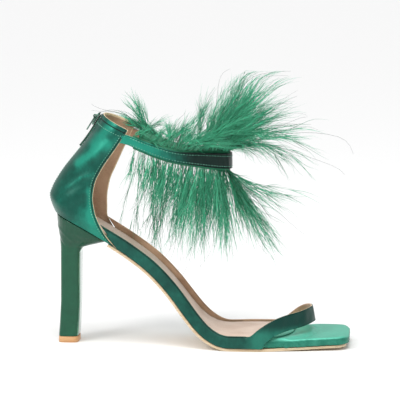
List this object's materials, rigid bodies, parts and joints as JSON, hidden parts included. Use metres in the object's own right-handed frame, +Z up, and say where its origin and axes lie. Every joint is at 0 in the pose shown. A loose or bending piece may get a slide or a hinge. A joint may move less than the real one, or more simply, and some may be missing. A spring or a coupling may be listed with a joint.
{
  "type": "high heel sandal",
  "caption": "Square-toe high heel sandal for the right foot, with a slim block heel, closed counter, back zip, toe strap and feather-trimmed ankle strap.",
  "frame": {"origin": "centre of the top lift's underside, on the floor", "axes": "+X toward the toe, +Z up, -Y toward the outer side of the foot"},
  "size_m": [0.2282, 0.0808, 0.1949],
  "materials": {
    "satin": "green satin",
    "padded_satin": "green satin",
    "heel_satin": "green satin stretched over the heel",
    "sock": "matte tan",
    "sole": "matte tan",
    "lift": "matte tan",
    "zip_chain": "green nylon teeth on tape",
    "zip_metal": "green lacquer",
    "feather": "dyed feather"
  },
  "bodies": {
    "shoe": {"outsole": "sole", "platform": "padded_satin", "footbed": "sock", "heel_block": "heel_satin", "top_lift": "lift", "back_upper": "satin", "front_upper": "satin", "zip_chain": "zip_chain", "zip_slider": "zip_metal", "feather_trim": "feather"},
    "zip_pull": {"zip_pull": "zip_metal"}
  },
  "joints": [
    {"name": "zip_pull_hinge", "type": "hinge", "parent": "shoe", "child": "zip_pull", "pos_m": [0.0206, 0, 0.17253], "axis": [0, 1, 0], "range_deg": [0, 150]}
  ]
}
